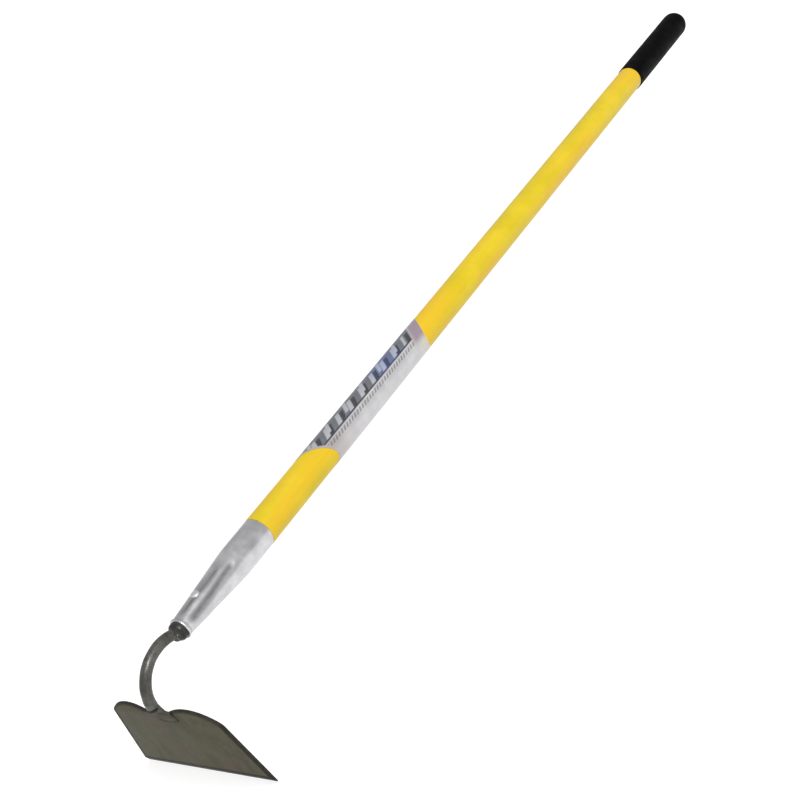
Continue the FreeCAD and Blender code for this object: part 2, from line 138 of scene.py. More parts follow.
def skin(name, rings, material, looped=False, angle=40):
    """Quads between rings of equal count; the ends are capped, or joined to each other if looped."""
    shape = bmesh.new()
    rows = [[shape.verts.new(point) for point in ring] for ring in rings]
    pairs = list(zip(rows, rows[1:]))
    if looped:
        pairs.append((rows[-1], rows[0]))
    for low, high in pairs:
        for index in range(len(low)):
            after = (index + 1) % len(low)
            shape.faces.new((low[index], low[after], high[after], high[index]))
    if not looped:
        shape.faces.new(rows[0])
        shape.faces.new(rows[-1])
    bmesh.ops.recalc_face_normals(shape, faces=shape.faces)
    mesh = bpy.data.meshes.new(name)
    shape.to_mesh(mesh)
    shape.free()
    smooth(mesh, angle)
    return new_object(name, mesh, material)


def blend_in(value, start, end):
    """0 before start, 1 after end, and a smooth slope between them."""
    share = min(1.0, max(0.0, (value - start) / (end - start)))
    return share * share * (3 - 2 * share)


def between(stops, value):
    """Smoothly read a value from a list of (place, value) stops."""
    for (near, low), (far, high) in zip(stops, stops[1:]):
        if value <= far:
            return low + (high - low) * blend_in(value, near, far)
    return stops[-1][1]


# ---------------------------------------------------------------- ferrule

def flute_share(x, angle, radius, flute):
    """1 in the middle of a pressed flute, falling to 0 outside it."""
    start, start_turn, end, end_turn, half, _ = flute
    ramp = 9 * MM
    along = blend_in(x, end, end + ramp) * (1 - blend_in(x, start - ramp, start))
    middle = math.radians(between([(end, end_turn), (start, start_turn)], x))
    across = math.remainder(angle - middle, 2 * math.pi) * radius / half
    return along * math.exp(-across * across)


def flute_depth(x, angle, radius):
    """How far the flutes sink the ferrule's outer wall."""
    return sum(flute[5] * flute_share(x, angle, radius, flute) for flute in FLUTES)


def mark_painted_shade(mesh):
    """Record how much painted shade each point takes: in the flutes, and against the rolled rim."""
    painted_shade = mesh.attributes.new("painted_shade", "FLOAT", "POINT")
    for index, vertex in enumerate(mesh.vertices):
        x, y, z = vertex.co
        radius = math.hypot(y, z)
        angle = math.atan2(z, y)
        held = math.sqrt(max(flute_share(x, angle, radius, flute) for flute in FLUTES))
        rim = math.exp(-((x - MOUTH - RIM_WIDTH) / (0.7 * MM)) ** 2)
        painted_shade.data[index].value = min(1.0, held + 0.6 * rim)


def ferrule_profile():
    """(x, radius, outer) stations: along the outside, round the rolled rim, and back up the inside."""
    profile = []
    rim_x = MOUTH + RIM_WIDTH
    start = FERRULE_TOP - EASE
    steps, curl = 56, 12
    for step in range(steps + 1):
        x = start + (rim_x - start) * step / steps
        slope = blend_in(x, TAPER - SHOULDER, TAPER + SHOULDER)
        cone = MOUTH_RADIUS + (SLEEVE_RADIUS - MOUTH_RADIUS) * (x - rim_x) / (TAPER - rim_x)
        profile.append((x, min(SLEEVE_RADIUS, cone) - EASE * slope * (1 - slope), 1.0))
    for step in range(1, curl):
        turn = math.pi * step / curl
        x = rim_x - RIM_WIDTH * (1 - math.cos(turn)) / 2
        profile.append((x, MOUTH_RADIUS + RIM_BEAD * math.sin(turn), 0.0))
    profile.append((MOUTH, MOUTH_RADIUS - 0.3 * MM, 0.0))
    profile.append((MOUTH, MOUTH_RADIUS - WALL, 0.0))
    profile.append((TAPER, SLEEVE_RADIUS - WALL, 0.0))
    profile.append((FERRULE_TOP, SLEEVE_RADIUS - WALL, 0.0))
    profile.append((FERRULE_TOP, SLEEVE_RADIUS - EASE, 0.0))
    return profile


def make_ferrule(material):
    """Drawn sleeve with a rolled rim and flutes pressed down its taper."""
    around = 120
    rings = []
    for x, radius, outer in ferrule_profile():
        ring = []
        for index in range(around):
            angle = 2 * math.pi * index / around
            reach = radius - outer * flute_depth(x, angle, radius)
            ring.append(Vector((x, reach * math.cos(angle), reach * math.sin(angle))))
        rings.append(ring)
    piece = skin("ferrule_sleeve", rings, material, looped=True)
    mark_painted_shade(piece.data)
    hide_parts("ferrule")


# ---------------------------------------------------------------- shank

def neck_stations():
    """Centre and heading of the bent rod, from the ferrule's mouth to just above the blade."""
    place = Vector((MOUTH - NECK_LEAD, 0, 0))
    heading = math.pi
    stations = [(place.copy(), heading)]
    for radius, turn in BENDS:
        sweep = math.radians(turn)
        side = math.copysign(1, sweep)
        centre = place + Vector((-math.sin(heading), 0, math.cos(heading))) * radius * side
        steps = max(4, int(abs(turn) / 4))
        for step in range(1, steps + 1):
            now = heading + sweep * step / steps
            spoke = Vector((math.sin(now), 0, -math.cos(now))) * radius * side
            stations.append((centre + spoke, now))
        place = stations[-1][0]
        heading += sweep
    return stations


def blade_axes():
    """Down the blade, and out of its outer face."""
    down = Vector((math.sin(LEAN), 0, -math.cos(LEAN)))
    outward = Vector((-math.cos(LEAN), 0, -math.sin(LEAN)))
    return down, outward


def blade_top():
    """The point on the blade's middle plane from which heights on the blade are measured."""
    down, outward = blade_axes()
    end = neck_stations()[-1][0]
    return end + down * FOOT_ABOVE - outward * FOOT_OFFSET


def oval(centre, across, through, half, depth, squareness=2.0, count=48):
    """A ring of points: an oval that grows squarer as squareness rises above 2."""
    ring = []
    for index in range(count):
        angle = 2 * math.pi * index / count
        c, s = math.cos(angle), math.sin(angle)
        u = math.copysign(abs(c) ** (2 / squareness), c)
        v = math.copysign(abs(s) ** (2 / squareness), s)
        ring.append(centre + across * half * u + through * depth * v)
    return ring


def hammered(ring, centre, amount):
    """Push a ring's points in and out a little, as a hammer leaves a forging."""
    out = []
    for point in ring:
        lump = fractal(point * 90, 1.0, 2.0, 3)
        out.append(point + (point - centre).normalized() * lump * amount)
    return out


def tang_profile():
    """(x, radius) stations of the tang, which is hidden in the ferrule, and of the collar."""
    return [
        (TANG_END, TANG_TIP), (MOUTH + 0.01 * MM, TANG_ROOT), (MOUTH, COLLAR_RADIUS - 0.2 * MM),
        (MOUTH - 0.4 * MM, COLLAR_RADIUS), (MOUTH - 1.4 * MM, COLLAR_RADIUS),
        (MOUTH - 3.2 * MM, COLLAR_RADIUS), (MOUTH - COLLAR_WIDTH, COLLAR_RADIUS - 0.5 * MM),
        (MOUTH - COLLAR_WIDTH - 1.6 * MM, COLLAR_RADIUS - 1.9 * MM),
        (COLLAR_END + 1.8 * MM, ROD_RADIUS + 0.8 * MM),
    ]


def foot_rings():
    """The rod flattens into a fishtail that lies on the blade's outer face."""
    down, outward = blade_axes()
    top = blade_top()
    across = Vector((0, 1, 0))
    # (place down the blade, size there) in millimetres, and how square the section is
    half = [(-4.3, 5.25), (1.0, 8.4), (5.5, 11.4), (12.0, 12.2), (17.0, 12.4), (18.5, 11.0)]
    depth = [(-4.3, 5.25), (0.5, 4.0), (5.0, 2.2), (10.0, 1.2), (16.0, 0.6), (18.5, 0.2)]
    offset = [(-4.3, 5.3), (0.5, 4.5), (5.0, 2.9), (10.0, 1.9), (16.0, 1.55), (18.5, 1.5)]
    square = [(-4.3, 2.0), (5.0, 2.4), (18.5, 2.8)]
    height, toe, pitch = -3.6, 18.5, 0.85
    rings = []
    while height <= toe:
        centre = top + down * height * MM + outward * between(offset, height) * MM
        ring = oval(centre, across, outward, between(half, height) * MM, between(depth, height) * MM,
                    between(square, height))
        rings.append((ring, centre))
        height += pitch
    return rings


def make_shank(material):
    """Tang, collar, swan neck and fishtail foot, skinned as one forging."""
    across, upward = Vector((0, 1, 0)), Vector((0, 0, 1))
    rings = []
    for x, radius in tang_profile():
        centre = Vector((x, 0, 0))
        ring = oval(centre, across, upward, radius, radius)
        lumpy = 0.35 * MM if centre.x < MOUTH else 0
        rings.append(hammered(ring, centre, lumpy))
    # these rings run the other way round from the others, so the skin crosses itself where they meet
    for centre, heading in neck_stations()[1:-1]:
        if centre.x > COLLAR_END + 1.2 * MM:
            continue
        through = Vector((-math.sin(heading), 0, math.cos(heading)))
        ring = oval(centre, across, through, ROD_RADIUS, ROD_RADIUS)
        rings.append(hammered(ring, centre, 0.22 * MM))
    for ring, centre in foot_rings():
        rings.append(hammered(ring, centre, 0.2 * MM))
    piece = skin("forged_shank", rings, material, angle=60)
    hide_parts("gooseneck_shank")


def resample(run, pitch):
    """Points an even pitch apart along a run of (across, height) corners."""
    out, carry = [], 0.0
    for (y0, h0), (y1, h1) in zip(run, run[1:]):
        length = math.hypot(y1 - y0, h1 - h0)
        at = carry
        while at < length:
            share = at / length
            out.append((y0 + (y1 - y0) * share, h0 + (h1 - h0) * share))
            at += pitch
        carry = at - length
    out.append(run[-1])
    return out


def weld_run():
    """(across, height) points down one side of the foot, round a corner, over the toe and back up."""
    half, toe, bend, steps = 12.2 * MM, 17.2 * MM, 4.5 * MM, 8
    flank = [(-half + 0.6 * MM, 8.5 * MM), (-half, 12.5 * MM)]
    for step in range(steps + 1):
        angle = math.pi / 2 * step / steps
        flank.append((-half + bend * (1 - math.cos(angle)), toe - bend + bend * math.sin(angle)))
    middle = [(-half + bend + (2 * half - 2 * bend) * step / steps, toe) for step in range(1, steps)]
    return flank + middle + [(-y, height) for y, height in reversed(flank)]


def make_weld(material):
    """Rippled fillet that runs down one side of the foot, across its toe and up the other side."""
    down, outward = blade_axes()
    across = Vector((0, 1, 0))
    start = blade_top() + outward * BLADE_THICK / 2
    points = [start + across * y + down * height for y, height in resample(weld_run(), 0.55 * MM)]
    last = len(points) - 1
    rings = []
    for index, point in enumerate(points):
        ahead = points[min(index + 1, last)] - points[max(index - 1, 0)]
        side = ahead.normalized().cross(outward)
        from_end = min(index, last - index) / 6
        ripple = 1.4 + 0.14 * math.sin(index * 2 * math.pi / 5)
        size = ripple * MM * min(1.0, 0.25 + 0.75 * from_end)
        ring = oval(point, side, outward, size * 1.35, size * 0.5, count=16)
        rings.append(hammered(ring, point, 0.12 * MM))
    piece = skin("foot_weld_bead", rings, material, angle=70)
    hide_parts("foot_weld")


# ---------------------------------------------------------------- blade

def make_blade(face, edge, ground):
    """The plate with its edges eased; sheared edges and the ground bevel get their own finishes."""
    outward = blade_axes()[1]
    shape = bmesh.new()
    shape.from_mesh(NODES["blade"].data)
    bmesh.ops.remove_doubles(shape, verts=shape.verts, dist=0.002 * MM)
    bmesh.ops.dissolve_limit(shape, angle_limit=math.radians(1.0), verts=shape.verts, edges=shape.edges)
    bmesh.ops.recalc_face_normals(shape, faces=shape.faces)
    for plate_face in shape.faces:
        facing = plate_face.normal.dot(outward)
        if abs(facing) < RIM_FACING:
            plate_face.material_index = 1
        elif RIM_FACING <= facing < FLAT_FACING:
            plate_face.material_index = 2
    bend = math.radians(12)
    rims = [rim for rim in shape.edges if len(rim.link_faces) == 2 and rim.calc_face_angle() > bend]
    bmesh.ops.bevel(shape, geom=rims, offset=0.4 * MM, segments=3, profile=0.5, affect="EDGES",
                    clamp_overlap=True, material=-1)
    mesh = bpy.data.meshes.new("hoe_blade")
    shape.to_mesh(mesh)
    shape.free()
    smooth(mesh, 35)
    piece = new_object("hoe_blade", mesh, face)
    mesh.materials.append(edge)
    mesh.materials.append(ground)
    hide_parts("blade")


# ---------------------------------------------------------------- rivet and grip

def make_rivet(material):
    """Rivet through the ferrule, with two low, slightly uneven heads."""
    low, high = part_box("ferrule_rivet")
    centre_x = (low.x + high.x) / 2
    across, through = Vector((1, 0, 0)), Vector((0, 1, 0))
    head, stem, seat = (high.x - low.x) / 2 + 0.6 * MM, 2.2 * MM, 11.2 * MM
    profile = []
    for sign in (-1, 1):
        dome = []
        for step in range(1, 9):
            angle = math.pi / 2 * step / 8
            rise = seat + (high.z - seat) * math.cos(angle)
            dome.append((rise * sign, head * math.sin(angle)))
        dome.append((seat * sign, stem))
        profile += dome if sign < 0 else reversed(dome)
    rings = []
    for rise, radius in profile:
        centre = Vector((centre_x, 0, rise))
        rings.append(hammered(oval(centre, across, through, radius, radius, count=32), centre, 0.1 * MM))
    piece = skin("rivet_heads", rings, material, angle=50)
    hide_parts("ferrule_rivet")


def make_grip(material):
    """Dipped sleeve: a soft lip over the tube, a barely uneven wall and a round end."""
    ease = 0.1 * MM
    outer = GRIP_RADIUS - ease
    wall = outer - TUBE_RADIUS
    straight_end = GRIP_END - GRIP_RADIUS
    lip_steps, wall_steps, dome_steps = 6, 60, 17
    profile = [(GRIP_START, TUBE_RADIUS - ease)]
    for step in range(1, lip_steps + 1):
        angle = math.pi / 2 * step / lip_steps
        along = GRIP_START + wall * 1.6 * (1 - math.cos(angle))
        profile.append((along, TUBE_RADIUS + wall * math.sin(angle)))
    first = profile[-1][0]
    for step in range(1, wall_steps + 1):
        profile.append((first + (straight_end - first) * step / wall_steps, outer))
    for step in range(1, dome_steps + 1):
        angle = math.pi / 2 * step / (dome_steps + 0.2)
        profile.append((straight_end + (outer + ease) * math.sin(angle), outer * math.cos(angle)))
    across, through = Vector((0, 1, 0)), Vector((0, 0, 1))
    rings = []
    for x, radius in profile:
        centre = Vector((x, 0, 0))
        ring = oval(centre, across, through, radius, radius, count=96)
        rings.append(hammered(ring, centre, 0.09 * MM) if x > GRIP_START + 2 * MM else ring)
    piece = skin("grip_sleeve", rings, material, angle=50)
    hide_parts("grip")


# ---------------------------------------------------------------- material helpers

class Finish:
    """One procedural material, and short ways to add nodes to it."""

    def __init__(self, name, **shader):
        self.material = bpy.data.materials.new(name)
        self.material.use_nodes = True
        self.tree = self.material.node_tree
        self.shader = self.tree.nodes["Principled BSDF"]
        for socket, number in shader.items():
            self.shader.inputs[socket.replace("_", " ")].default_value = number
        self.place = self.tree.nodes.new("ShaderNodeTexCoord").outputs["Object"]

    def feed(self, socket, source):
        """Wire a node's output into a socket, or write a plain value there."""
        if isinstance(source, bpy.types.NodeSocket):
            self.tree.links.new(source, socket)
        else:
            socket.default_value = source

    def add(self, kind, sources=(), **settings):
        """A node with its settings, and its inputs fed by name or number."""
        node = self.tree.nodes.new(f"ShaderNode{kind}")
        for setting, choice in settings.items():
            setattr(node, setting, choice)
        for key, source in dict(sources).items():
            self.feed(node.inputs[key], source)
        return node

    def maths(self, operation, *terms):
        """One sum of plain numbers and node outputs."""
        node = self.add("Math", enumerate(terms), operation=operation)
        return node.outputs[0]

    def stretched(self, scale, turn=(0, 0, 0)):
        """The object's own coordinates, scaled and turned."""
        sources = {"Vector": self.place, "Scale": scale, "Rotation": turn}
        return self.add("Mapping", sources).outputs[0]

    def noise(self, scale, detail=4.0, rough=0.55, at=None, distort=0.0):
        """Soft noise over the object, or over the coordinates given."""
        sources = {"Vector": at or self.place, "Scale": scale, "Detail": detail, "Roughness": rough,
                   "Distortion": distort}
        return self.add("TexNoise", sources).outputs[0]

    def cells(self, scale):
        """Rounded cells, for pits and dents."""
        return self.add("TexVoronoi", {"Vector": self.place, "Scale": scale}).outputs[0]

    def fit(self, source, low, high, to_low=0.0, to_high=1.0, kind="SMOOTHSTEP"):
        """Rescale a value, held to the new range."""
        sources = {0: source, 1: low, 2: high, 3: to_low, 4: to_high}
        return self.add("MapRange", sources, interpolation_type=kind).outputs[0]

    def tint(self, share, under, over):
        """Mix two colours; each is a plain colour or a node's output."""
        node = self.add("Mix", data_type="RGBA")
        self.feed(node.inputs[0], share)
        for number, colour in ((6, under), (7, over)):
            plain = not isinstance(colour, bpy.types.NodeSocket)
            self.feed(node.inputs[number], (*colour, 1) if plain else colour)
        return node.outputs[2]

    def split(self):
        """The object's x, y and z."""
        return self.add("SeparateXYZ", {0: self.place}).outputs

    def edges(self, radius):
        """1 where the surface bends within radius, 0 on the flats."""
        rounded = self.add("Bevel", {"Radius": radius}, samples=6).outputs[0]
        true = self.add("NewGeometry").outputs["Normal"]
        same = self.add("VectorMath", {0: rounded, 1: true}, operation="DOT_PRODUCT").outputs["Value"]
        return self.fit(same, 0.9995, 0.965, kind="LINEAR")

    def colour(self, source):
        self.feed(self.shader.inputs["Base Color"], source)

    def rough(self, source):
        self.feed(self.shader.inputs["Roughness"], source)

    def bump(self, *layers):
        """Bump from (height, strength, depth) layers, one over the other."""
        normal = None
        for height, strength, depth in layers:
            sources = {"Height": height, "Strength": strength, "Distance": depth}
            node = self.add("Bump", sources)
            if normal:
                self.feed(node.inputs["Normal"], normal)
            normal = node.outputs[0]
        self.feed(self.shader.inputs["Normal"], normal)


def shade(red, green, blue):
    """Linear colour from display values of 0 to 255."""
    out = []
    for level in (red, green, blue):
        level /= 255
        out.append(level / 12.92 if level <= 0.04045 else ((level + 0.055) / 1.055) ** 2.4)
    return tuple(out)


# ---------------------------------------------------------------- materials

def fibreglass():
    """Yellow pigmented resin over lengthwise glass, with faint drawing lines, dust and handling marks."""
    finish = Finish("fibreglass_yellow", IOR=1.5, Specular_IOR_Level=0.22, Coat_Weight=0.06,
                    Coat_Roughness=0.2)
    strands = finish.noise(1.0, 5.0, 0.6, at=finish.stretched((14, 900, 900)))
    cloud = finish.noise(26.0, 4.0, 0.5)
    patch = finish.noise(1.0, 3.0, 0.5, at=finish.stretched((9, 42, 42)))
    base = finish.tint(finish.fit(cloud, 0.35, 0.68), shade(224, 199, 22), shade(237, 208, 38))
    base = finish.tint(finish.fit(patch, 0.42, 0.66, 0, 0.8), base, shade(240, 196, 36))
    base = finish.tint(finish.fit(strands, 0.52, 0.78, 0, 0.45), base, shade(214, 174, 24))
    scuff = finish.noise(1.0, 6.0, 0.7, at=finish.stretched((60, 420, 420)), distort=0.4)
    marks = finish.fit(scuff, 0.66, 0.74, 0, 0.5)
    base = finish.tint(marks, base, shade(236, 208, 100))
    finish.colour(base)
    gloss = finish.fit(cloud, 0.3, 0.7, 0.34, 0.46)
    finish.rough(finish.maths("ADD", gloss, finish.maths("MULTIPLY", marks, 0.25)))
    finish.bump((strands, 0.25, 0.00012), (cloud, 0.2, 0.0004))
    return finish.material


def foil():
    """Silver foil label: a charcoal panel of slanted bars, a pin line beside it and a plain strip."""
    finish = Finish("label_foil_print", Metallic=0.3, IOR=1.5, Coat_Weight=0.2, Coat_Roughness=0.2)
    x, y, z = (finish.maths("MULTIPLY", part, 1 / MM) for part in finish.split()[:3])
    turn = finish.maths("SUBTRACT", finish.maths("ARCTAN2", z, y), math.radians(PRINT_SIDE))
    wrapped = finish.maths("ARCTAN2", finish.maths("SINE", turn), finish.maths("COSINE", turn))
    side = finish.maths("MULTIPLY", wrapped, -TUBE_RADIUS / MM)
    low_gap = finish.maths("SUBTRACT", x, slanted(finish, y, z, LABEL_LOW))
    high_gap = finish.maths("SUBTRACT", slanted(finish, y, z, LABEL_HIGH), x)
    return paint_foil(finish, x, side, low_gap, high_gap)


def slanted(finish, y, z, end):
    """Where the label's cut end lies along the handle, at a place round it."""
    crossing, turn = end
    across = finish.maths("MULTIPLY", y, math.sin(math.radians(turn)))
    upward = finish.maths("MULTIPLY", z, -math.cos(math.radians(turn)))
    return finish.maths("ADD", crossing, finish.maths("ADD", across, upward))


def band(finish, source, low, high, soft=0.4):
    """1 between low and high, with soft edges."""
    rise = finish.fit(source, low - soft, low + soft)
    fall = finish.fit(source, high - soft, high + soft, 1.0, 0.0)
    return finish.maths("MULTIPLY", rise, fall)


def printed_bars(finish, lean, side, high_gap):
    """Two rows of pale slanted bars, and the dark bars and edge line that go with them."""
    pitch = finish.maths("FRACT", finish.maths("DIVIDE", lean, 23.0))
    wide = finish.maths("FRACT", finish.maths("DIVIDE", lean, 34.5))
    bars = finish.maths("MULTIPLY", band(finish, pitch, 0.12, 0.42, 0.03), band(finish, side, 5.2, 17.0))
    thin = finish.maths("MULTIPLY", band(finish, wide, 0.55, 0.72, 0.02), band(finish, side, 8.0, 20.5))
    light = finish.maths("MULTIPLY", finish.maths("MAXIMUM", bars, thin), finish.fit(high_gap, 30, 32))
    dark = finish.maths("MAXIMUM", band(finish, pitch, 0.46, 0.74, 0.03), band(finish, side, 3.4, 5.0))
    return light, finish.maths("MULTIPLY", dark, band(finish, side, 3.4, 15.0))


def bare_foil(finish, travel, side, high_gap, mottle):
    """Silver, greyer at its lower end and warmer at its upper one, with a lilac cast in one corner."""
    silver = finish.tint(finish.fit(mottle, 0.35, 0.7), shade(196, 195, 198), shade(212, 211, 212))
    silver = finish.tint(finish.fit(travel, 170, 115), silver, shade(184, 178, 178))
    silver = finish.tint(finish.fit(travel, 285, 325, 0, 0.7), silver, shade(204, 198, 170))
    lilac = finish.maths("MULTIPLY", finish.fit(high_gap, 24, 14), finish.fit(side, -6, 2))
    return finish.tint(lilac, silver, shade(166, 148, 164))


def printed_panel(finish, travel, light, dark):
    """Charcoal panel with its bars; part of its upper half is bluish."""
    blue = band(finish, travel, 228, 272, 16)
    field = finish.tint(blue, shade(112, 116, 123), shade(104, 116, 152))
    ink = finish.tint(blue, shade(64, 66, 72), shade(56, 68, 108))
    pale = finish.tint(blue, shade(186, 187, 194), shade(170, 180, 208))
    return finish.tint(light, finish.tint(dark, field, ink), pale)


def paint_foil(finish, travel, side, low_gap, high_gap):
    """Lay the print on the foil, in millimetres along the handle, round it, and from each end."""
    inside = finish.maths("MULTIPLY", finish.fit(low_gap, 3, 5), finish.fit(high_gap, 19, 22))
    panel = finish.maths("MULTIPLY", inside, band(finish, side, 3.4, 34))
    lean = finish.maths("ADD", travel, finish.maths("MULTIPLY", side, -0.9))
    light, dark = printed_bars(finish, lean, side, high_gap)
    dashes = band(finish, finish.maths("FRACT", finish.maths("DIVIDE", lean, 5.2)), 0.15, 0.72, 0.08)
    line = finish.maths("MULTIPLY", finish.maths("MULTIPLY", inside, band(finish, side, -2.4, 1.6)), dashes)
    mottle = finish.noise(60.0, 4.0, 0.6)
    wear = finish.noise(900.0, 3.0, 0.6)
    silver = bare_foil(finish, travel, side, high_gap, mottle)
    printed = finish.tint(panel, silver, printed_panel(finish, travel, light, dark))
    printed = finish.tint(finish.maths("MULTIPLY", line, 0.6), printed, shade(96, 98, 104))
    rubbed = finish.fit(wear, 0.62, 0.72, 0, 0.4)
    finish.colour(finish.tint(rubbed, printed, shade(196, 195, 198)))
    dull = finish.maths("MULTIPLY", panel, 0.12)
    finish.rough(finish.maths("ADD", finish.fit(mottle, 0.3, 0.7, 0.3, 0.44), dull))
    finish.bump((mottle, 0.25, 0.0004), (panel, 0.3, 0.00006))
    return finish.material


def drawn_steel():
    """Bright drawn steel: lengthwise die lines, small scratches, a dull bloom, and painted shade in the
    flutes and against the rolled rim.
    """
    finish = Finish("ferrule_drawn_steel", Specular_IOR_Level=0.3)
    lines = finish.noise(1.0, 6.0, 0.65, at=finish.stretched((16, 1500, 1500)))
    bloom = finish.noise(55.0, 5.0, 0.6)
    scratch = finish.noise(1.0, 4.0, 0.6, at=finish.stretched((260, 2600, 260), (0.3, 0.2, 0.5)))
    base = finish.tint(finish.fit(bloom, 0.3, 0.72), shade(186, 186, 189), shade(214, 214, 216))
    base = finish.tint(finish.fit(lines, 0.5, 0.8, 0, 0.5), base, shade(150, 150, 154))
    cut = finish.fit(scratch, 0.68, 0.76, 0, 0.6)
    base = finish.tint(cut, base, shade(236, 236, 238))
    held = finish.add("Attribute", attribute_name="painted_shade").outputs["Fac"]
    patchy_shade = finish.maths("MULTIPLY", held, finish.fit(bloom, 0.25, 0.65, 0.55, 0.95))
    # painted shade: the steel is darker and less metallic in the flutes and by the rolled rim
    base = finish.tint(patchy_shade, base, shade(100, 100, 103))
    metal = finish.maths("SUBTRACT", 1.0, finish.maths("MULTIPLY", patchy_shade, 0.55))
    finish.feed(finish.shader.inputs["Metallic"], metal)
    finish.colour(base)
    gloss = finish.fit(bloom, 0.25, 0.75, 0.28, 0.42)
    gloss = finish.maths("ADD", gloss, finish.fit(lines, 0.4, 0.8, 0.0, 0.1))
    finish.rough(finish.maths("ADD", gloss, finish.maths("MULTIPLY", held, 0.15)))
    finish.bump((lines, 0.3, 0.00012), (bloom, 0.25, 0.0006), (scratch, 0.15, 0.00008))
    return finish.material


def rivet_steel():
    """Peened rivet steel: bright on the struck crown, darker round its edge."""
    finish = Finish("rivet_peened_steel", Metallic=1.0)
    dents = finish.cells(900.0)
    bloom = finish.noise(420.0, 4.0, 0.6)
    rim = finish.edges(0.0006)
    base = finish.tint(finish.fit(bloom, 0.3, 0.7), shade(206, 206, 208), shade(238, 238, 238))
    finish.colour(finish.tint(finish.maths("MULTIPLY", rim, 0.5), base, shade(120, 118, 114)))
    finish.rough(finish.fit(bloom, 0.3, 0.7, 0.28, 0.45))
    finish.bump((dents, 0.3, 0.00025), (bloom, 0.2, 0.0001))
    return finish.material


def forged_steel():
    """Dark forging scale over steel, pitted and slightly oily, with painted shade on its foot and the blade's
    lacquer further down it.
    """
    finish = Finish("shank_forged_steel", IOR=1.5, Specular_IOR_Level=0.2)
    scale_map = finish.noise(120.0, 6.0, 0.65)
    broad = finish.noise(38.0, 4.0, 0.55)
    pits = finish.cells(620.0)
    base = finish.tint(finish.fit(broad, 0.35, 0.68), shade(80, 79, 76), shade(110, 109, 105))
    base = finish.tint(finish.fit(scale_map, 0.5, 0.72, 0, 0.6), base, shade(46, 45, 42))
    travel, height = finish.split()[0], finish.split()[2]
    shaded_foot = (-26 * MM, -37 * MM)
    collar = band(finish, travel, MOUTH - 7 * MM, MOUTH, 2 * MM)
    base = finish.tint(finish.maths("MULTIPLY", collar, 0.7), base, shade(40, 40, 39))
    rust = finish.fit(finish.noise(240.0, 5.0, 0.7), 0.62, 0.74, 0, 0.3)
    base = finish.tint(rust, base, shade(96, 76, 58))
    crown = finish.noise(1.0, 4.0, 0.6, at=finish.stretched((150, 300, 150)))
    # lighter streaks: rubbed steel, and painted highlight for the shine along the bend
    base = finish.tint(finish.fit(crown, 0.58, 0.7, 0, 0.4), base, shade(128, 124, 116))
    # painted shade: the foot tab, which faces up, is darkened toward olive
    base = finish.tint(finish.fit(height, *shaded_foot, 0, 0.9), base, shade(80, 78, 64))
    base = finish.tint(finish.fit(height, -44 * MM, -52 * MM, 0, 0.8), base, lacquer(finish))
    finish.colour(base)
    finish.feed(finish.shader.inputs["Metallic"], finish.fit(height, -40 * MM, -26 * MM, 0, 0.4))
    dull = finish.fit(height, *shaded_foot, 0, 0.3)
    finish.rough(finish.maths("ADD", finish.fit(scale_map, 0.3, 0.7, 0.3, 0.5), dull))
    finish.bump((scale_map, 0.5, 0.0007), (broad, 0.4, 0.0012), (pits, 0.25, 0.0002))
    return finish.material


def lacquer(finish):
    """Colour of the thin olive-brown lacquer: mottled, streaked, with a faint purple-brown cast in places."""
    rolled = finish.noise(1.0, 5.0, 0.6, at=finish.stretched((60, 90, 22)))
    mottle = finish.noise(58.0, 6.0, 0.62)
    broad = finish.noise(16.0, 3.0, 0.5)
    fine = finish.noise(210.0, 5.0, 0.65)
    base = finish.tint(finish.fit(mottle, 0.34, 0.68), shade(88, 87, 68), shade(109, 107, 88))
    base = finish.tint(finish.fit(rolled, 0.45, 0.7, 0, 0.55), base, shade(80, 78, 60))
    base = finish.tint(finish.fit(fine, 0.52, 0.72, 0, 0.45), base, shade(120, 118, 98))
    return finish.tint(finish.fit(broad, 0.5, 0.64, 0, 0.5), base, shade(108, 94, 87))


def weld_steel():
    """Weld metal: fine ripples under the blade's lacquer, darkened as painted shade."""
    finish = Finish("weld_bead_steel", Specular_IOR_Level=0.12)
    ripple = finish.noise(700.0, 4.0, 0.6)
    # painted shade: the bead's colour is pulled toward a dark olive over the lacquer
    finish.colour(finish.tint(finish.fit(ripple, 0.35, 0.65, 0.4, 0.9), lacquer(finish), shade(56, 54, 45)))
    finish.rough(finish.fit(ripple, 0.3, 0.7, 0.45, 0.62))
    finish.bump((ripple, 0.5, 0.0003))
    return finish.material


def rim_gap(finish):
    """How far a point on the blade's face is from its bevel or the nearer of its slanted sides."""
    across, height = finish.split()[1], finish.maths("SUBTRACT", finish.split()[2], EDGE_LINE)
    gap = finish.maths("SUBTRACT", height, BEVEL_TOP)
    for sign, slope in zip((-1, 1), SIDE_SLOPES):
        half = finish.maths("SUBTRACT", EDGE_HALF, finish.maths("MULTIPLY", height, slope))
        gap = finish.maths("MINIMUM", gap, finish.maths("ADD", half, finish.maths("MULTIPLY", across, sign)))
    return gap


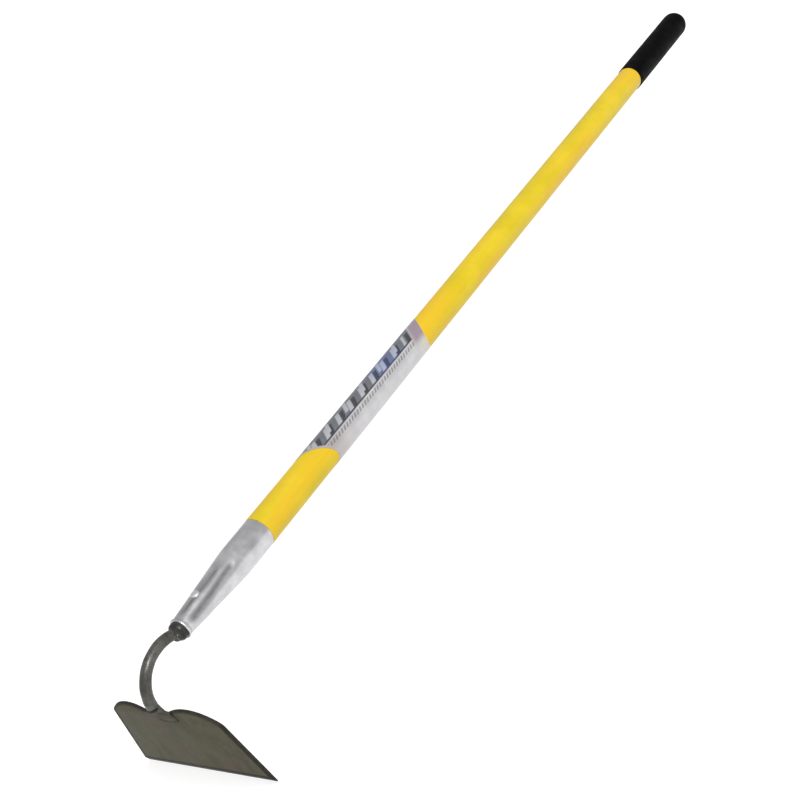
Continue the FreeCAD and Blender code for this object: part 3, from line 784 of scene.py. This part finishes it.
def blade_steel():
    """Rolled plate under lacquer: fine grain, light scratches, darker round its rims, and painted shade along
    its bevel and slanted sides.
    """
    finish = Finish("blade_lacquered_steel", IOR=1.5, Specular_IOR_Level=0.1)
    mottle = finish.noise(58.0, 6.0, 0.62)
    grain = finish.noise(900.0, 4.0, 0.6)
    scratch = finish.noise(1.0, 3.0, 0.6, at=finish.stretched((400, 120, 1400), (0.25, 0.0, 0.0)))
    cut = finish.fit(scratch, 0.7, 0.76, 0, 0.4)
    base = finish.tint(cut, lacquer(finish), shade(122, 119, 108))
    # darker where the face bends round its rims
    rim = finish.maths("MULTIPLY", finish.edges(0.005), finish.fit(mottle, 0.3, 0.6, 0.6, 0.95))
    base = finish.tint(rim, base, shade(48, 46, 38))
    # painted shade: the face darkens toward its bevel and its slanted sides
    gap = finish.maths("ADD", rim_gap(finish), finish.maths("MULTIPLY", mottle, 2.0 * MM))
    finish.colour(finish.tint(finish.fit(gap, 4.8 * MM, 2.4 * MM, 0, 0.85), base, shade(46, 44, 38)))
    gloss = finish.fit(mottle, 0.3, 0.7, 0.48, 0.64)
    finish.rough(finish.maths("SUBTRACT", gloss, finish.maths("MULTIPLY", cut, 0.15)))
    finish.bump((mottle, 0.3, 0.0010), (grain, 0.3, 0.00012), (scratch, 0.2, 0.0001))
    return finish.material


def sheared_edge():
    """Sheared edge of the plate: dark scale with fine shear lines through the thickness."""
    finish = Finish("blade_sheared_edge", Specular_IOR_Level=0.12)
    lines = finish.noise(1.0, 4.0, 0.6, at=finish.stretched((120, 1600, 1600)))
    spots = finish.noise(260.0, 5.0, 0.6)
    base = finish.tint(finish.fit(spots, 0.35, 0.7), shade(44, 42, 37), shade(62, 59, 51))
    finish.colour(finish.tint(finish.fit(lines, 0.55, 0.8, 0, 0.5), base, shade(82, 79, 71)))
    finish.rough(finish.fit(spots, 0.3, 0.7, 0.5, 0.7))
    finish.bump((lines, 0.4, 0.00015), (spots, 0.3, 0.0003))
    return finish.material


def ground_bevel():
    """Ground cutting edge: grinding lines across the bevel, coloured dark as painted shade of its downward
    face.
    """
    finish = Finish("blade_ground_bevel", Specular_IOR_Level=0.06)
    lines = finish.noise(1.0, 5.0, 0.65, at=finish.stretched((200, 1800, 60)))
    shade_mottle = finish.noise(90.0, 4.0, 0.6)
    # painted shade: these dark tones stand in for the shade on the bevel's downward face
    base = finish.tint(finish.fit(shade_mottle, 0.35, 0.7), shade(34, 33, 30), shade(50, 48, 44))
    finish.colour(finish.tint(finish.fit(lines, 0.5, 0.8, 0, 0.6), base, shade(72, 70, 65)))
    finish.rough(finish.fit(lines, 0.3, 0.7, 0.36, 0.55))
    finish.bump((lines, 0.4, 0.00012), (shade_mottle, 0.2, 0.0004))
    return finish.material


def vinyl():
    """Black dipped vinyl: fine pebble, faint run lines and a little dust."""
    finish = Finish("grip_black_vinyl", IOR=1.48, Specular_IOR_Level=0.03)
    pebble = finish.noise(1500.0, 3.0, 0.6)
    runs = finish.noise(1.0, 4.0, 0.5, at=finish.stretched((18, 160, 160)))
    dust = finish.noise(90.0, 5.0, 0.65)
    base = finish.tint(finish.fit(runs, 0.35, 0.7), shade(3, 3, 3), shade(9, 9, 9))
    base = finish.tint(finish.fit(dust, 0.56, 0.78, 0, 0.3), base, shade(28, 27, 26))
    finish.colour(base)
    finish.rough(finish.fit(dust, 0.3, 0.7, 0.46, 0.62))
    finish.bump((pebble, 0.3, 0.0001), (runs, 0.25, 0.0006))
    return finish.material


def plug_wood():
    """Hardwood plug: long grain with growth lines."""
    finish = Finish("plug_hardwood", IOR=1.45)
    grain = finish.noise(1.0, 5.0, 0.6, at=finish.stretched((12, 500, 500)))
    rings = finish.noise(1.0, 3.0, 0.5, at=finish.stretched((4, 140, 60)))
    base = finish.tint(finish.fit(rings, 0.4, 0.65), shade(176, 134, 86), shade(206, 166, 112))
    finish.colour(finish.tint(finish.fit(grain, 0.52, 0.75, 0, 0.6), base, shade(132, 94, 58)))
    finish.rough(finish.fit(grain, 0.3, 0.7, 0.55, 0.75))
    finish.bump((grain, 0.3, 0.0003))
    return finish.material


def plug_plastic():
    """Dark moulded plastic with a fine spark-eroded texture."""
    finish = Finish("plug_moulded_plastic", IOR=1.5)
    texture = finish.noise(1300.0, 3.0, 0.5)
    flow = finish.noise(50.0, 3.0, 0.5)
    finish.colour(finish.tint(finish.fit(flow, 0.4, 0.65), shade(38, 38, 40), shade(50, 50, 52)))
    finish.rough(finish.fit(texture, 0.3, 0.7, 0.45, 0.6))
    finish.bump((texture, 0.25, 0.0001))
    return finish.material


def dress(node, material):
    """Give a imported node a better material."""
    for slot in NODES[node].material_slots:
        slot.material = material


# ---------------------------------------------------------------- studio

def make_floor():
    """Pale floor under the hoe's cutting edge and grip, large enough to run out of sight."""
    finish = Finish("floor_pale", Roughness=0.9, Specular_IOR_Level=0.1)
    speckle = finish.noise(30.0, 3.0, 0.5)
    finish.colour(finish.tint(speckle, (0.48, 0.48, 0.48), (0.5, 0.5, 0.5)))
    finish.shader.inputs["Emission Color"].default_value = (1, 1, 1, 1)
    finish.shader.inputs["Emission Strength"].default_value = 0.77
    reach, gap = 30.0, 0.6 * MM
    shape = bmesh.new()
    bmesh.ops.create_grid(shape, x_segments=8, y_segments=8, size=reach)
    mesh = bpy.data.meshes.new("floor")
    shape.to_mesh(mesh)
    shape.free()
    mesh.materials.append(finish.material)
    floor = bpy.data.objects.new("floor", mesh)
    floor.location = (0, 0, CAD_BOX[0].z - gap)
    floor.visible_diffuse = False
    bpy.context.scene.collection.objects.link(floor)


def make_world():
    """Even pale surroundings."""
    world = bpy.data.worlds.new("studio")
    world.use_nodes = True
    sky = world.node_tree.nodes["Background"]
    sky.inputs["Color"].default_value = (0.99, 0.99, 1.0, 1)
    sky.inputs["Strength"].default_value = 0.6
    bpy.context.scene.world = world


def make_light(name, place, target, size, power, colour, mirrored=False):
    """A soft square lamp that faces a point; a mirrored one only lends glossy surfaces a highlight."""
    lamp = bpy.data.lights.new(name, "AREA")
    lamp.shape = "SQUARE"
    lamp.size = size
    lamp.energy = power
    lamp.color = colour
    holder = bpy.data.objects.new(name, lamp)
    holder.visible_glossy = mirrored
    holder.visible_diffuse = not mirrored
    holder.location = place
    aim = Vector(target) - Vector(place)
    holder.rotation_mode = "QUATERNION"
    holder.rotation_quaternion = aim.to_track_quat("-Z", "Y")
    bpy.context.scene.collection.objects.link(holder)


def make_camera():
    """Three-quarter view from above the blade, rolled so that the handle climbs to the upper right."""
    right = Vector((0.46798, -0.79818, -0.37935))
    up = Vector((0.59165, -0.03589, 0.80539))
    back = right.cross(up)
    place = Vector((-0.705104, -0.876941, 0.631316))
    camera = bpy.data.cameras.new("camera")
    camera.sensor_width = 36.0
    camera.lens = 62.276
    camera.clip_end = 100.0
    holder = bpy.data.objects.new("camera", camera)
    holder.matrix_world = Matrix.Translation(place) @ Matrix((right, up, back)).transposed().to_4x4()
    bpy.context.scene.collection.objects.link(holder)
    bpy.context.scene.camera = holder


bpy.context.scene.view_settings.view_transform = "Standard"
make_camera()
make_world()
make_floor()
make_light("key", (0.55, -1.1, 2.9), (0.5, 0, 0), 1.8, 36, (1.0, 0.98, 0.95))
make_light("front", (0.5, -3.0, 0.7), (0.5, 0, 0), 1.8, 24, (1.0, 0.98, 0.95))
make_light("highlight", (-0.49, -0.98, 1.22), (-0.17, 0, 0), 0.42, 24, (1.0, 0.99, 0.97), mirrored=True)

make_ferrule(drawn_steel())
make_shank(forged_steel())
make_weld(weld_steel())
make_blade(blade_steel(), sheared_edge(), ground_bevel())
make_rivet(rivet_steel())
make_grip(vinyl())
dress("handle_tube", fibreglass())
dress("label_wrap", foil())
dress("core_plug", plug_wood())
dress("top_plug", plug_plastic())
